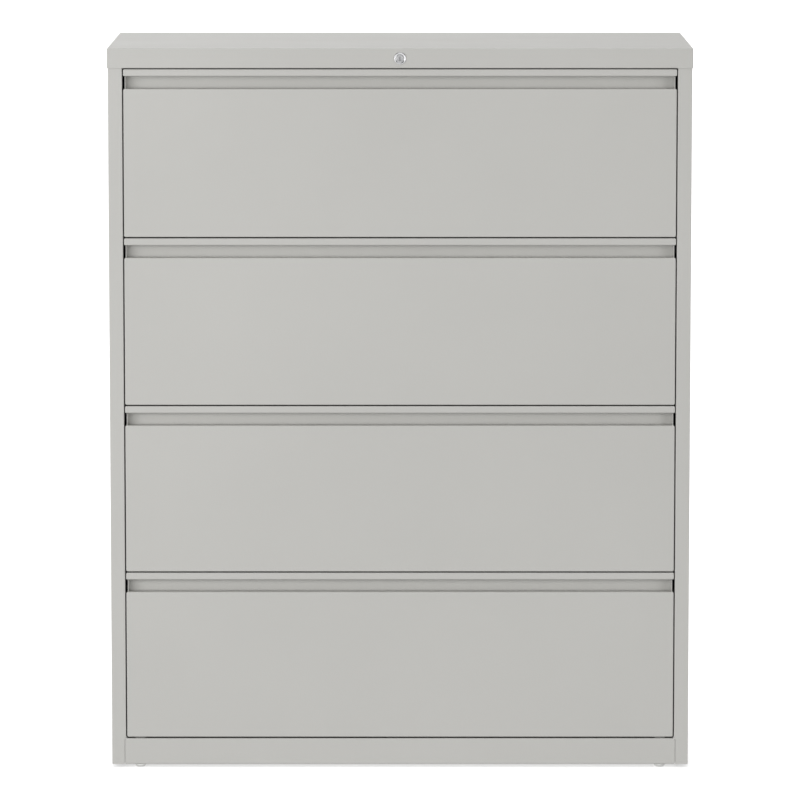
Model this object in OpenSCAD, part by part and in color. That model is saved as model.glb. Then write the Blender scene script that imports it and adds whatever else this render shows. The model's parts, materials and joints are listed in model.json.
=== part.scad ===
// Four-drawer lateral filing cabinet in folded sheet steel.
// X runs to the right, Y runs from the front to the back and Z is up. The origin is on the floor,
// under the middle of the cabinet. Every length is in millimetres.

/* [Cabinet] */
// Width of the case across its two side panels
body_w = 1064; // [760:1:1100]
// Depth of the case from the front posts to the rear flanges
body_d = 470; // [460:1:520]
// Overall height from the floor to the top face
total_h = 1329.5; // [1325:0.5:1340]
// Thickness of the sheet steel in the case
case_t = 1.2; // [1:0.1:1.5]
// Width of each front post
post_w = 26; // [24:1:28]
// Height of the top cap's skirt
cap_h = 36.5; // [34:0.5:38]
// How far the top cap stands out past the case on every side
cap_overhang = 1.5; // [1.5:0.1:1.6]
// Height of the front base rail
base_rail_h = 48.4; // [44:0.1:50]
// Height that the glides hold the case off the floor
foot_h = 6; // [6:0.5:7]

/* [Drawers] */
// Number of drawers
drawer_count = 4; // [4:1:4]
// Distance from one drawer to the next
drawer_pitch = 309.1; // [308:0.1:309.1]
// Gap between one drawer front and the next
drawer_gap = 2.2; // [2:0.1:3]
// Gap between a drawer front and a post
side_gap = 2; // [1.5:0.1:2.5]
// Gap between the top cap and the first drawer front
top_gap = 1.7; // [1.5:0.1:2]
// Thickness of the sheet steel in the drawers
drawer_t = 1; // [0.9:0.1:1]
// Height of the lip over the pull
lip_h = 12.8; // [12:0.1:14]
// Height of the pull's finger opening
pull_h = 23.2; // [22:0.1:25]
// Depth of the pull's finger opening
pull_depth = 22; // [20:0.5:24]
// How far a drawer opens
travel = 380; // [300:5:380]
// Height of the drawer's side walls
wall_h = 240; // [200:5:250]

/* [Slides] */
// Length of the slide's fixed member
slide_l = 400; // [380:5:400]
// Height of the slide
slide_h = 45; // [45:1:46]
// Thickness of the whole slide, from the upright to the drawer
slide_w = 12.7; // [12.7:0.1:13]
// Diameter of the balls in the slide
ball_d = 3.8; // [3.4:0.1:3.8]

/* [Lock] */
// Diameter of the lock's bezel
bezel_d = 22.5; // [21:0.5:24]
// Diameter of the plug that the key turns
plug_d = 15; // [14:0.5:15]
// Radius at which the cam's pin turns
cam_pin_radius = 9; // [8:0.5:9]
// How far the lock bar rises as the plug turns through a quarter turn
bar_lift = 12; // [10:1:12]

/* [Glides] */
// Distance of each glide from the middle of the cabinet, left or right
glide_x = 480; // [470:1:484]
// Distance of a front glide behind the front face
glide_inset = 11; // [11:0.5:12]
// Diameter of the glide's threaded stem
stem_d = 8; // [8:1:8]
// Diameter of the glide's foot where it touches the floor
foot_d = 14; // [12:1:16]

/* [Hidden] */

paint = [0.76, 0.757, 0.74];
zinc = [0.72, 0.73, 0.75];
chrome = [0.85, 0.85, 0.87];
black_plastic = [0.08, 0.08, 0.08];
nylon = [0.93, 0.93, 0.91];
iron = [0.3, 0.3, 0.31];

bend_r = 0.8;          // inside radius of a bend in the case
edge_r = 1.6;          // outside radius of the edges that show on the front
bend_steps = 6;        // flats that make up one bend
corner_r = 3;          // radius of the corners that show on the front
play = 0.3;            // clearance between parts that pass each other
seam = 0.1;            // clearance between sheets that are fixed together

half_w = body_w / 2;
front_y = -body_d / 2;
back_y = body_d / 2;
cap_z = total_h - cap_h;
cap_under = total_h - case_t;
opening_x = half_w - post_w;              // inner face of a post
front_x = opening_x - side_gap;           // side edge of a drawer front
post_return = 30;                         // how far the post's inner wall runs back
base_top = foot_h + base_rail_h;
rail_x = opening_x + 2;                   // half length of the front base rail, let into the posts

drawer_h = drawer_pitch - drawer_gap;
face_t = pull_depth + drawer_t;           // thickness of the whole drawer front, without its liner
liner_y = front_y + face_t - 0.5;         // front face of the liner
box_y = liner_y + drawer_t + seam;        // front edge of the drawer's body
box_back = 200;                           // outer face of the drawer's back wall
box_x = opening_x - slide_w;              // outer face of a drawer's side wall
floor_z = 10;                             // underside of the drawer's side walls, over its bottom edge
wall_top = floor_z + wall_h;
flange = 10;                              // width of the walls' top flanges

slide_z = 62;                             // slide's centre over the drawer's bottom edge
slide_y = -200;                           // front end of the fixed member
slide_t = 1.2;                            // thickness of the slide's steel
catch_z = 160;                            // underside of the catch over the drawer's bottom edge

upright_w = 40;
upright_front_y = -180;
upright_rear_y = 150;

back_screw_x = half_w - 14;
back_screw_rows = 6;
back_screw_r = 2;
flange_w = 27;                            // width of the side panels' rear flanges
back_outer = back_y - case_t - seam;      // outer face of the back panel

glide_front_y = front_y + glide_inset;
glide_rear_y = back_y - 16;
stem_r = stem_d / 2;
access_r = 9.7;                             // hole over a glide, for the screwdriver

ballast = [760, 92, 34];
ballast_y = 138;                          // middle of the counterweight
ballast_bolt_x = ballast.x / 2 - 60;
ballast_bolt_r = 5;
ballast_hole_r = 5.3;
ballast_top = base_top - 2 * case_t - seam;

lock_z = total_h - cap_h / 2;
lock_face = front_y - cap_overhang;       // front face of the cap's skirt
lock_barrel_r = 9.5;
plug_back = 32.5;                         // distance from the skirt's face to the plug's shoulder
tail = 7;                                 // width of the square tail of the plug
cam_t = 2.5;
rod_y = -199.5;                           // front face of the lock rod
rod_t = 3;
rod_low = lock_z + 0.25;                  // lower edge of the lock rod
rod_shift = 2 * cam_pin_radius * sin(45);
bar_y = -196;                             // front face of the lock bar
bar_t = 3;
bar_w = 12;
bar_x = opening_x + 1.5;                  // edge of the lock bar nearest the drawers
bar_pin_x = bar_x + 4.5;
bar_pin_z = cap_z + 13;
lock_pin_r = 2;
rail_low = cap_z + 1.8;                   // underside of the top rail

// Height of the bottom edge of drawer k, which counts from 1 at the top.
function drawer_z(k) = cap_z - top_gap - drawer_h - (k - 1) * drawer_pitch;

// ---------- folded sheet ----------

function unit(v) = v / norm(v);
function left_of(a, b) = let (u = unit(b - a)) [-u.y, u.x];
function turned(v, a) = [v.x * cos(a) - v.y * sin(a), v.x * sin(a) + v.y * cos(a)];
function reversed(p) = [for (i = [len(p) - 1:-1:0]) p[i]];

// Points of the arc of radius r that rounds the corner at b.
function arc_at(a, b, c, r, steps) =
    let (
        u = unit(b - a),
        w = unit(c - b),
        side = sign(cross(u, w)),
        bend = acos(max(-1, min(1, u * w))),
        start = b - u * r * tan(bend / 2),
        centre = start + side * r * [-u.y, u.x]
    )
    [for (i = [0:steps]) centre + turned(start - centre, side * bend * i / steps)];

// Corners of the path moved d to its left.
function moved_path(p, d) =
    let (last = len(p) - 1)
    [for (i = [0:last])
        i == 0 ? p[0] + d * left_of(p[0], p[1])
        : i == last ? p[last] + d * left_of(p[last - 1], p[last])
        : let (m = left_of(p[i - 1], p[i]), n = left_of(p[i], p[i + 1])) p[i] + d * (m + n) / (1 + m * n)];

// One face of a folded sheet of thickness t, at distance d to the left of its base path.
function sheet_face(p, d, t, inside_r) =
    let (q = moved_path(p, d), last = len(q) - 1)
    [
        q[0],
        for (i = [1:1:last - 1])
            let (left = cross(q[i] - q[i - 1], q[i + 1] - q[i]) > 0)
            each arc_at(q[i - 1], q[i], q[i + 1], left ? inside_r + t - d : inside_r + d, bend_steps),
        q[last]
    ];

// Section of a folded sheet: the material lies to the left of the path.
module sheet(path, t, inside_r = bend_r) {
    polygon(concat(sheet_face(path, 0, t, inside_r), reversed(sheet_face(path, t, t, inside_r))));
}

// A rectangle from a to b with each corner rounded.
module rounded(a, b, r) {
    c = [a, [b.x, a.y], b, [a.x, b.y]];
    polygon([for (i = [0:3]) each arc_at(c[(i + 3) % 4], c[i], c[(i + 1) % 4], r, bend_steps)]);
}

// Extrudes a Y-Z section along X, from x0 to x1.
module along_x(x0, x1) {
    translate([x0, 0, 0]) rotate([90, 0, 90]) linear_extrude(x1 - x0) children();
}

// Extrudes an X-Z section along Y, from y0 to y1.
module along_y(y0, y1) {
    translate([0, y1, 0]) rotate([90, 0, 0]) linear_extrude(y1 - y0) children();
}

// Extrudes an X-Y section along Z, from z0 to z1.
module along_z(z0, z1) {
    translate([0, 0, z0]) linear_extrude(z1 - z0) children();
}

// A box from its lowest corner to its highest one.
module block(a, b) {
    translate(a) cube(b - a);
}

// A round bar along Y.
module bar_y_axis(x, z, y0, y1, r, sides = 48) {
    translate([x, y1, z]) rotate([90, 0, 0]) cylinder(h = y1 - y0, r = r, $fn = sides);
}

// The children and their mirror image on the other side of the cabinet.
module both_sides() {
    children();
    mirror([1, 0, 0]) children();
}

// ---------- case ----------

// A side of the case: one sheet that folds round the front into a post and round the back into a flange.
module side_panel() {
    hem = 9;
    difference() {
        along_z(foot_h, cap_under - play)
            sheet([
                [-half_w + flange_w, back_y], [-half_w, back_y], [-half_w, front_y],
                [-opening_x, front_y], [-opening_x, front_y + post_return],
                [-opening_x - hem, front_y + post_return]
            ], case_t);
        // the front base rail is let in flush with the post
        block([-rail_x - play, front_y - 1, 0], [-opening_x + 1, front_y + post_return + 1, base_top + play]);
        at_back_screws() cylinder(h = 2 * case_t + 4, r = back_screw_r + 0.05, center = true, $fn = 32);
    }
}

// Puts its children at each back screw, with their Z pointing out of the back.
module at_back_screws() {
    lowest = foot_h + 70;
    highest = cap_z - 60;
    for (side = [-1, 1], i = [0:back_screw_rows - 1])
        translate([side * back_screw_x, back_y, lowest + i * (highest - lowest) / (back_screw_rows - 1)])
            rotate([-90, 0, 0]) children();
}

module side_panel_left() {
    color(paint) side_panel();
}

module side_panel_right() {
    color(paint) mirror([1, 0, 0]) side_panel();
}

// The back: one sheet with three pressed stiffening ribs, inside the rear flanges and over the rear rail.
module back_panel() {
    rib_w = 36;
    rib_depth = 5;
    slope = 8;
    edge_x = half_w - case_t - 2;
    ribs = [270, 0, -270];
    color(paint)
        difference() {
            along_z(base_top + play, cap_under - play)
                sheet([
                    [edge_x, back_outer],
                    for (x = ribs) each [
                        [x + rib_w / 2 + slope, back_outer], [x + rib_w / 2, back_outer - rib_depth],
                        [x - rib_w / 2, back_outer - rib_depth], [x - rib_w / 2 - slope, back_outer]
                    ],
                    [-edge_x, back_outer]
                ], case_t);
            at_back_screws() cylinder(h = 2 * case_t + 4, r = back_screw_r + 0.05, center = true, $fn = 32);
        }
}

// Outline of the cap, shrunk by d on every face but the open underside.
module cap_form(d) {
    x = half_w + cap_overhang - d;
    y = body_d / 2 + cap_overhang - d;
    r = max(edge_r - d, 0.3);
    low = cap_z - 10;
    intersection() {
        along_x(-x, x) rounded([-y, low], [y, total_h - d], r);
        along_y(-y, y) rounded([-x, low], [x, total_h - d], r);
        along_z(d > 0 ? cap_z - 1 : cap_z, total_h + 1) rounded([-x, -y], [x, y], r);
    }
}

// The top: a pan turned down over the case, with a flange under its front skirt.
module top_cap() {
    flange_x = opening_x - 1;
    color(paint)
        difference() {
            union() {
                difference() {
                    cap_form(0);
                    cap_form(case_t);
                }
                block([-flange_x, lock_face + case_t / 2, cap_z], [flange_x, lock_face + 16, cap_z + case_t]);
            }
            bar_y_axis(0, lock_z, lock_face - 5, lock_face + 5, lock_barrel_r + seam);
        }
}

// Rail under the cap that ties the posts together and carries the lock rod.
module top_front_rail() {
    back = upright_front_y - 3;
    front = front_y + 16;
    color(paint)
        along_x(-opening_x + seam, opening_x - seam)
            sheet([
                [front, rail_low + 6], [front, rail_low],
                [back, rail_low], [back, cap_under - 2]
            ], case_t);
}

// Floor of the case, on which the uprights stand.
module bottom_pan() {
    color(paint)
        difference() {
            block(
                [-half_w + case_t + 0.8, front_y + post_return + 1, base_top - 2 * case_t],
                [half_w - case_t - 0.8, back_outer - case_t - 1, base_top - case_t]
            );
            both_sides() {
                translate([glide_x, glide_rear_y, 0]) cylinder(h = 100, r = access_r, $fn = 48);
                translate([ballast_bolt_x, ballast_y, 0]) cylinder(h = 100, r = ballast_hole_r, $fn = 48);
            }
        }
}

// A base rail: a channel open to the inside of the base, with a hole over each glide and rounded top corners.
module base_rail(face_y, half_l, top_w, bottom_w, glide_y, end_r) {
    difference() {
        along_x(-half_l, half_l)
            sheet([
                [face_y + top_w, base_top], [face_y, base_top],
                [face_y, foot_h], [face_y + bottom_w, foot_h]
            ], case_t);
        both_sides() {
            translate([glide_x, glide_y, base_top - 10]) cylinder(h = 20, r = access_r, $fn = 48);
            translate([glide_x, glide_y, 0]) cylinder(h = 20, r = stem_r + 1, $fn = 48);
            difference() {
                block(
                    [half_l - end_r, face_y - 1, base_top - end_r],
                    [half_l + 1, face_y + top_w + 1, base_top + 1]
                );
                bar_y_axis(half_l - end_r, base_top - end_r, face_y - 2, face_y + top_w + 2, end_r);
            }
        }
    }
}

module base_rail_front() {
    color(paint) base_rail(front_y, rail_x, 44, 30, glide_front_y, corner_r + 0.5);
}

module base_rail_rear() {
    color(paint) mirror([0, 1, 0]) base_rail(-back_outer, half_w - case_t - 2, 38, 31, -glide_rear_y, 2);
}

// An upright: a channel against the side panel, with a column of slots for the slides.
module upright(y0) {
    slot_pitch = 50.8;
    slot_w = 4;
    slot_h = 14;
    low = base_top - case_t + seam;
    high = cap_z + 5;
    slot_count = floor((high - low - 60) / slot_pitch);
    difference() {
        along_z(low, high)
            sheet([
                [half_w - case_t - play, y0 + upright_w], [opening_x, y0 + upright_w],
                [opening_x, y0], [half_w - case_t - play, y0]
            ], case_t);
        for (i = [0:slot_count], j = [-1, 1])
            translate([opening_x - 1, y0 + upright_w / 2 + j * 9 - slot_w / 2, low + 30 + i * slot_pitch])
                cube([case_t + 2, slot_w, slot_h]);
    }
}

module uprights_front() {
    color(zinc) both_sides() upright(upright_front_y);
}

module uprights_rear() {
    color(zinc) both_sides() upright(upright_rear_y);
}

// Plate and threaded boss in a corner of the base, which the glide's stem screws into.
module corner_bracket(glide_y, wall_y) {
    plate_w = 56;
    plate_d = 27;
    plate_t = 3;
    boss_r = 8;
    boss_h = 12;
    inward = -sign(wall_y);
    low = foot_h + case_t + seam;
    wall = wall_y + inward * (case_t + bend_r);
    difference() {
        union() {
            block(
                [glide_x - plate_w / 2, min(wall, wall + inward * plate_d), low],
                [glide_x + plate_w / 2, max(wall, wall + inward * plate_d), low + plate_t]
            );
            translate([glide_x, glide_y, low]) cylinder(h = boss_h, r = boss_r, $fn = 48);
        }
        translate([glide_x, glide_y, 0]) cylinder(h = 40, r = stem_r + 0.05, $fn = 48);
    }
}

module corner_brackets() {
    color(zinc) both_sides() {
        corner_bracket(glide_front_y, front_y);
        corner_bracket(glide_rear_y, back_outer);
    }
}

// Ballast under the floor of the case, which keeps it upright with a loaded drawer open.
module counterweight() {
    color(iron)
        difference() {
            block(
                [-ballast.x / 2, ballast_y - ballast.y / 2, ballast_top - ballast.z],
                [ballast.x / 2, ballast_y + ballast.y / 2, ballast_top]
            );
            both_sides()
                translate([ballast_bolt_x, ballast_y, 0]) cylinder(h = 100, r = ballast_hole_r, $fn = 48);
        }
}

// Hexagon bolts that hang the counterweight from the floor of the case.
module counterweight_bolts() {
    head_h = 7;
    low = ballast_top - ballast.z - seam;
    color(zinc) both_sides()
        translate([ballast_bolt_x, ballast_y, low - head_h]) {
            cylinder(h = head_h, r = 9.2, $fn = 6);
            cylinder(h = base_top + 4 - low + head_h, r = ballast_bolt_r, $fn = 48);
        }
}

// Pan-head screws that hold the back panel in the rear flanges, with their heads outside.
module back_screws() {
    head_h = 1.3;
    head_r = 4;
    dome_r = 9;
    cross = [4.8, 1, 2];
    color(zinc) at_back_screws()
        difference() {
            union() {
                intersection() {
                    cylinder(h = head_h, r = head_r, $fn = 32);
                    translate([0, 0, head_h - dome_r]) sphere(r = dome_r, $fn = 96);
                }
                translate([0, 0, -6]) cylinder(h = 6.5, r = back_screw_r, $fn = 32);
            }
            for (a = [0, 90])
                rotate([0, 0, a]) translate([-cross.x / 2, -cross.y / 2, head_h / 2]) cube(cross);
        }
}

// ---------- slides ----------
// A slide's section has u from the upright (0) towards the drawer and v up from its middle.

// Places a section of the right-hand slide, and sweeps it from y0 to y1.
module slide_section(y0, y1, z) {
    along_y(y0, y1) translate([opening_x, z]) mirror([1, 0]) children();
}

// Rectangle from its lowest corner to its highest one.
module rect(a, b) {
    translate(a) square(b - a);
}

// Channel section: a web at one u, flanges at +v and -v that reach to the tip, and lips turned in there.
module channel(web_u, tip_u, v, lip) {
    dir = tip_u > web_u ? 1 : -1;
    inner = web_u + dir * slide_t;
    past_tip = tip_u + dir;
    lip_u = tip_u - dir * slide_t;
    difference() {
        rect([min(web_u, tip_u), -v], [max(web_u, tip_u), v]);
        rect([min(inner, past_tip), -v + slide_t], [max(inner, past_tip), v - slide_t]);
    }
    for (s = [-1, 1])
        rect([min(tip_u, lip_u), s > 0 ? v - lip : -v], [max(tip_u, lip_u), s > 0 ? v : lip - v]);
}

outer_u = [0, 9.2];                       // web and tip of the fixed member
mid_u = [2.2, 10.4];                      // web and tip of the middle member
inner_u = [slide_w, 5.4];                 // web and tip of the drawer's member
outer_v = slide_h / 2;
mid_v = outer_v - 6.2;
inner_v = mid_v - 5.6;

module slide_outer_member(k) {
    rivet_r = 4;
    rivet_t = 0.6;
    z = drawer_z(k) + slide_z;
    difference() {
        slide_section(slide_y, slide_y + slide_l, z) channel(outer_u[0], outer_u[1], outer_v, 3.6);
        for (y = [-80, -20, 40, 100])
            translate([opening_x + 1, y, z]) rotate([0, -90, 0]) cylinder(h = 3, r = 4, $fn = 32);
    }
    for (y = [upright_front_y + upright_w / 2, upright_rear_y + upright_w / 2])
        translate([opening_x - slide_t, y, z])
            rotate([0, -90, 0]) cylinder(h = rivet_t, r = rivet_r, $fn = 32);
}

module slide_outer_left() {
    color(zinc) mirror([1, 0, 0]) for (k = [1:drawer_count]) slide_outer_member(k);
}

module slide_outer_right() {
    color(zinc) for (k = [1:drawer_count]) slide_outer_member(k);
}

// Middle member: runs half as far as the drawer.
module slide_mid(k) {
    color(zinc) both_sides()
        slide_section(slide_y, slide_y + slide_l - 10, drawer_z(k) + slide_z)
            channel(mid_u[0], mid_u[1], mid_v, 3.2);
}

// Inner member: fixed to the drawer's side wall.
module slide_inner(k) {
    color(zinc) both_sides()
        slide_section(slide_y - 5, slide_y + slide_l - 15, drawer_z(k) + slide_z)
            channel(inner_u[0], inner_u[1], inner_v, 2.4);
}

// A strip that keeps a row of balls apart, with its balls, between two members of a slide.
module ball_cage(u, v, y0, z) {
    balls = 4;
    pitch = 11;
    strip_t = 0.6;
    half = ball_d / 2;
    slide_section(y0, y0 + balls * pitch, z) rect([u - half, v - strip_t / 2], [u + half, v + strip_t / 2]);
    for (i = [0:balls - 1])
        translate([opening_x - u, y0 + (i + 0.5) * pitch, z + v]) sphere(r = half, $fn = 32);
}

// The cages between the outer and middle members sit to the rear, and those inside the middle member
// to the front, so that each stays between its two members from end to end of the travel.
module ball_cages(k) {
    z = drawer_z(k) + slide_z;
    outer_race = (outer_v - slide_t + mid_v) / 2;
    inner_race = (mid_v - slide_t + inner_v) / 2;
    color(chrome) both_sides()
        for (s = [-1, 1]) {
            ball_cage(5, s * outer_race, 70, z);
            ball_cage(7.2, s * inner_race, -115, z);
        }
}

// Rubber stop at the back of each fixed member.
module slide_bumpers() {
    color(black_plastic) both_sides()
        for (k = [1:drawer_count])
            slide_section(slide_y + slide_l - 9, slide_y + slide_l - 1, drawer_z(k) + slide_z)
                rect([slide_t + seam, -9], [8.6, 9]);
}

// ---------- lock ----------

// Barrel with a bevelled bezel in front of the cap's skirt.
module lock_housing() {
    bore_r = plug_d / 2 + 0.05;
    bezel = bezel_d / 2;
    proud = 2.6;
    depth = 30;
    color(chrome)
        translate([0, lock_face, lock_z]) rotate([-90, 0, 0])
            rotate_extrude($fn = 96)
                polygon([
                    [bore_r, -1.6], [bezel - 2.2, -proud], [bezel - 1, -proud], [bezel, -1.6], [bezel, -0.05],
                    [lock_barrel_r, -0.05], [lock_barrel_r, depth], [bore_r, depth]
                ]);
}

// Nut that clamps the housing to the skirt from behind.
module lock_nut() {
    color(zinc)
        translate([0, lock_face + case_t + 0.05, lock_z]) rotate([-90, 0, 0])
            difference() {
                cylinder(h = 4, r = 13.4, $fn = 6);
                translate([0, 0, -1]) cylinder(h = 6, r = lock_barrel_r + 0.1, $fn = 64);
            }
}

// The part that the key turns, with the keyway in its front face and a square tail behind.
module lock_plug() {
    color(zinc)
        translate([0, lock_face, lock_z]) rotate([-90, 0, 0])
            difference() {
                union() {
                    translate([0, 0, -1.3]) cylinder(h = plug_back - 2 + 1.3, r = plug_d / 2, $fn = 64);
                    translate([-tail / 2, -tail / 2, plug_back - 3]) cube([tail, tail, cam_t + 1.8]);
                }
                translate([-1.1, -4.6, -3]) cube([2.2, 8.4, 14]);
                translate([-2, -1, -3]) cube([1.2, 3.2, 14]);
            }
}

// Arm on the plug's tail, with a pin that moves the rod. The arm leans 45 degrees left of upright.
module lock_cam() {
    hub_r = 8;
    arm_r = 4;
    half_tail = tail / 2 + 0.05;
    color(zinc)
        translate([0, lock_face + plug_back - 1.5, lock_z]) rotate([0, -45, 0]) {
            difference() {
                union() {
                    bar_y_axis(0, 0, 0, cam_t, hub_r);
                    bar_y_axis(0, cam_pin_radius, 0, cam_t, arm_r);
                    block([-arm_r, 0, 0], [arm_r, cam_t, cam_pin_radius]);
                    bar_y_axis(0, cam_pin_radius, 0, cam_t + 6.5, lock_pin_r);
                }
                rotate([0, 45, 0]) block([-half_tail, -1, -half_tail], [half_tail, cam_t + 1, half_tail]);
            }
        }
}

// Flat rod behind the skirt: the cam's pin shifts it to the right, and its sloping slot lifts the bar.
module lock_rod() {
    high = cap_under - 1.8;
    slot_r = lock_pin_r + 0.5;
    pin_x = -cam_pin_radius * sin(45);
    pin_low = lock_z + cam_pin_radius * cos(45);
    slope = atan2(bar_lift, -rod_shift);
    right = bar_pin_x + 5;
    color(zinc)
        difference() {
            union() {
                block([pin_x - 10, rod_y, rod_low], [right, rod_y + rod_t, high]);
                block([bar_pin_x - rod_shift - 6, rod_y, bar_pin_z - 5], [right, rod_y + rod_t, high]);
            }
            // upright window for the cam's pin
            block(
                [pin_x - slot_r, rod_y - 1, pin_low - slot_r],
                [pin_x + slot_r, rod_y + rod_t + 1, lock_z + cam_pin_radius + slot_r]
            );
            // sloping slot for the bar's pin
            translate([bar_pin_x, 0, bar_pin_z]) rotate([0, -slope, 0])
                block([0, rod_y - 1, -slot_r], [norm([rod_shift, bar_lift]), rod_y + rod_t + 1, slot_r]);
            for (p = [[0, 0], [-rod_shift, bar_lift]])
                bar_y_axis(bar_pin_x + p.x, bar_pin_z + p.y, rod_y - 1, rod_y + rod_t + 1, slot_r);
        }
}

// Upright bar inside the right-hand side, with one welded-on blocking tab for each drawer.
module lock_bar() {
    tab_x = box_x + 3.8;
    tab_h = 12;
    tab_top = catch_z - 2;
    low = drawer_z(drawer_count) + catch_z - 40;
    color(zinc) {
        block([bar_x, bar_y, low], [bar_x + bar_w, bar_y + bar_t, bar_pin_z + 5]);
        bar_y_axis(bar_pin_x, bar_pin_z, bar_y - 5, bar_y - 0.05, lock_pin_r);
        for (k = [1:drawer_count])
            block(
                [tab_x, bar_y, drawer_z(k) + tab_top - tab_h],
                [bar_x - 0.05, bar_y + bar_t, drawer_z(k) + tab_top]
            );
    }
}

// Plastic guides: three in the top rail for the rod and three on the front upright for the bar.
module lock_guides() {
    web_top = rail_low + case_t + seam;
    color(black_plastic) {
        for (x = [110, 270, 430]) difference() {
            block([x - 10, rod_y - 4, web_top], [x + 10, rod_y + 7, rod_low + 8]);
            block([x - 11, rod_y - play, rod_low - play], [x + 11, rod_y + rod_t + play, rod_low + 9]);
        }
        for (k = [1, 2, 4]) let (z = drawer_z(k) + catch_z + 50) difference() {
            block([bar_x - 3, bar_y - 2, z - 9], [bar_x + bar_w + 3, upright_front_y - seam, z + 9]);
            block([bar_x - play, bar_y - 3, z - 10], [bar_x + bar_w + play, bar_y + bar_t + play, z + 10]);
        }
    }
}

// ---------- glides ----------

// Levelling glide: a nylon foot on a threaded steel stem, with a screwdriver slot on top.
module glide(x, y) {
    foot_r = 10;
    foot_top = foot_h - 0.2;
    stem_top = 42;
    socket = 0.05;
    translate([x, y, 0]) {
        color(nylon)
            rotate_extrude($fn = 64)
                polygon([
                    [0, 0], [foot_d / 2, 0], [foot_r, 3.4], [foot_r, foot_top],
                    [stem_r + socket, foot_top], [stem_r + socket, 2], [0, 2]
                ]);
        color(zinc)
            difference() {
                translate([0, 0, 2 + socket]) cylinder(h = stem_top - 2 - socket, r = stem_r, $fn = 48);
                translate([-stem_r - 1, -0.6, stem_top - 2]) cube([2 * stem_r + 2, 1.2, 3]);
            }
    }
}

module glide_front_left() {
    glide(-glide_x, glide_front_y);
}

module glide_front_right() {
    glide(glide_x, glide_front_y);
}

module glide_rear_left() {
    glide(-glide_x, glide_rear_y);
}

module glide_rear_right() {
    glide(glide_x, glide_rear_y);
}

// ---------- drawers ----------

// Box of the drawer's face, shrunk by d on every face but the open back.
module face_form(z0, z1, d) {
    r = max(edge_r - d, 0.3);
    rc = corner_r - d;
    deep = front_y + face_t + 10;
    back = liner_y - seam + (d > 0 ? 5 : 0);
    intersection() {
        along_x(-front_x + d, front_x - d) rounded([front_y + d, z0 + d], [deep, z1 - d], r);
        along_z(z0, z1) rounded([-front_x + d, front_y + d], [front_x - d, deep], r);
        along_y(front_y, back) rounded([-front_x + d, z0 + d], [front_x - d, z1 - d], rc);
    }
}

// Front of a drawer: the face is a shallow box, and the sheet runs on over its top edge to make the
// floor, back and ceiling of the full-width pull and the lip in front of it. A low wall closes each
// end of the pull, up to the height of the lip's lower edge.
module drawer_front(k) {
    low = drawer_z(k);
    high = low + drawer_h;
    face_top = high - lip_h - pull_h;
    channel_back = front_y + face_t;
    hem_y = front_y + 7;
    channel_x = front_x - 2.9;
    hand_gap = 0.6;                          // from the end walls' tops up to the lip's lower edge
    t = drawer_t;
    color(paint) {
        difference() {
            face_form(low, face_top, 0);
            face_form(low, face_top, t);
        }
        along_x(-channel_x, channel_x)
            sheet([
                [front_y + edge_r, face_top - t], [channel_back, face_top - t],
                [channel_back, high], [front_y + 4, high]
            ], t, 1.2);
        for (low_x = [-channel_x, channel_x - t])
            along_x(low_x, low_x + t)
                translate([front_y + t, face_top - t / 2])
                    square([face_t - 1.5 * t, pull_h + t / 2 - hand_gap]);
        along_x(-front_x, front_x)
            sheet([
                [front_y + 8, high], [front_y, high], [front_y, high - lip_h],
                [hem_y, high - lip_h], [hem_y, high - lip_h + 6]
            ], t, 0.6);
    }
}

// Sheet that closes the back of the drawer's face.
module drawer_liner(k) {
    low = drawer_z(k) + 1.6;
    high = drawer_z(k) + drawer_h - lip_h - pull_h - drawer_t - 0.4;
    x = front_x - 2;
    color(paint) block([-x, liner_y, low], [x, liner_y + drawer_t, high]);
}

// Body of a drawer: a ribbed floor, two side walls and a back wall, spot-welded along their flanges.
module drawer_box(k) {
    t = drawer_t;
    rib_h = 2;
    ribs = [-330, -110, 110, 330];
    floor_low = floor_z + t + seam;
    inner_x = box_x - t - 1;
    side_back = box_back - t - seam;
    color(paint) translate([0, 0, drawer_z(k)]) {
        // floor
        along_y(box_y, box_back - t - 1)
            sheet([
                [-inner_x, floor_low],
                for (x = ribs) each [
                    [x - 16, floor_low], [x - 12, floor_low + rib_h],
                    [x + 12, floor_low + rib_h], [x + 16, floor_low]
                ],
                [inner_x, floor_low]
            ], t);
        // side walls
        both_sides()
            along_y(box_y, side_back)
                sheet([
                    [box_x - flange, floor_z], [box_x, floor_z],
                    [box_x, wall_top], [box_x - flange, wall_top]
                ], t);
        // back wall, whose flange stops short of the side walls' flanges
        difference() {
            along_x(-inner_x, inner_x)
                sheet([[box_back, floor_low], [box_back, wall_top], [box_back - flange, wall_top]], t);
            both_sides()
                block(
                    [box_x - flange - seam, 0, wall_top - 2 * t - 1],
                    [box_x, side_back + seam, wall_top + 1]
                );
        }
    }
}

// Two bars across the drawer that carry hanging files, on feet that sit on the side walls' flanges.
module hang_rails(k) {
    spacing = 316;
    middle = (box_y + box_back) / 2;
    bar_t = 2.5;
    low = wall_top + seam;
    color(zinc) translate([0, 0, drawer_z(k)])
        for (y = [middle - spacing / 2, middle + spacing / 2]) {
            block([-box_x + 1, y - bar_t / 2, low], [box_x - 1, y + bar_t / 2, low + 15]);
            both_sides() block([box_x - flange - 1, y - 9, low], [box_x - 1, y + 9, low + 1.5]);
        }
}

// Bracket on the right-hand wall that the lock bar's tab blocks.
module drawer_catch(k) {
    x = box_x + 0.05;
    y = bar_y + 4;
    plate_t = 1.8;
    color(zinc) translate([0, 0, drawer_z(k) + catch_z]) {
        block([x, y, 0], [x + plate_t, y + 42, 26]);
        block([x, y, 0], [x + 10, y + 2.4, 26]);
    }
}

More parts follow.
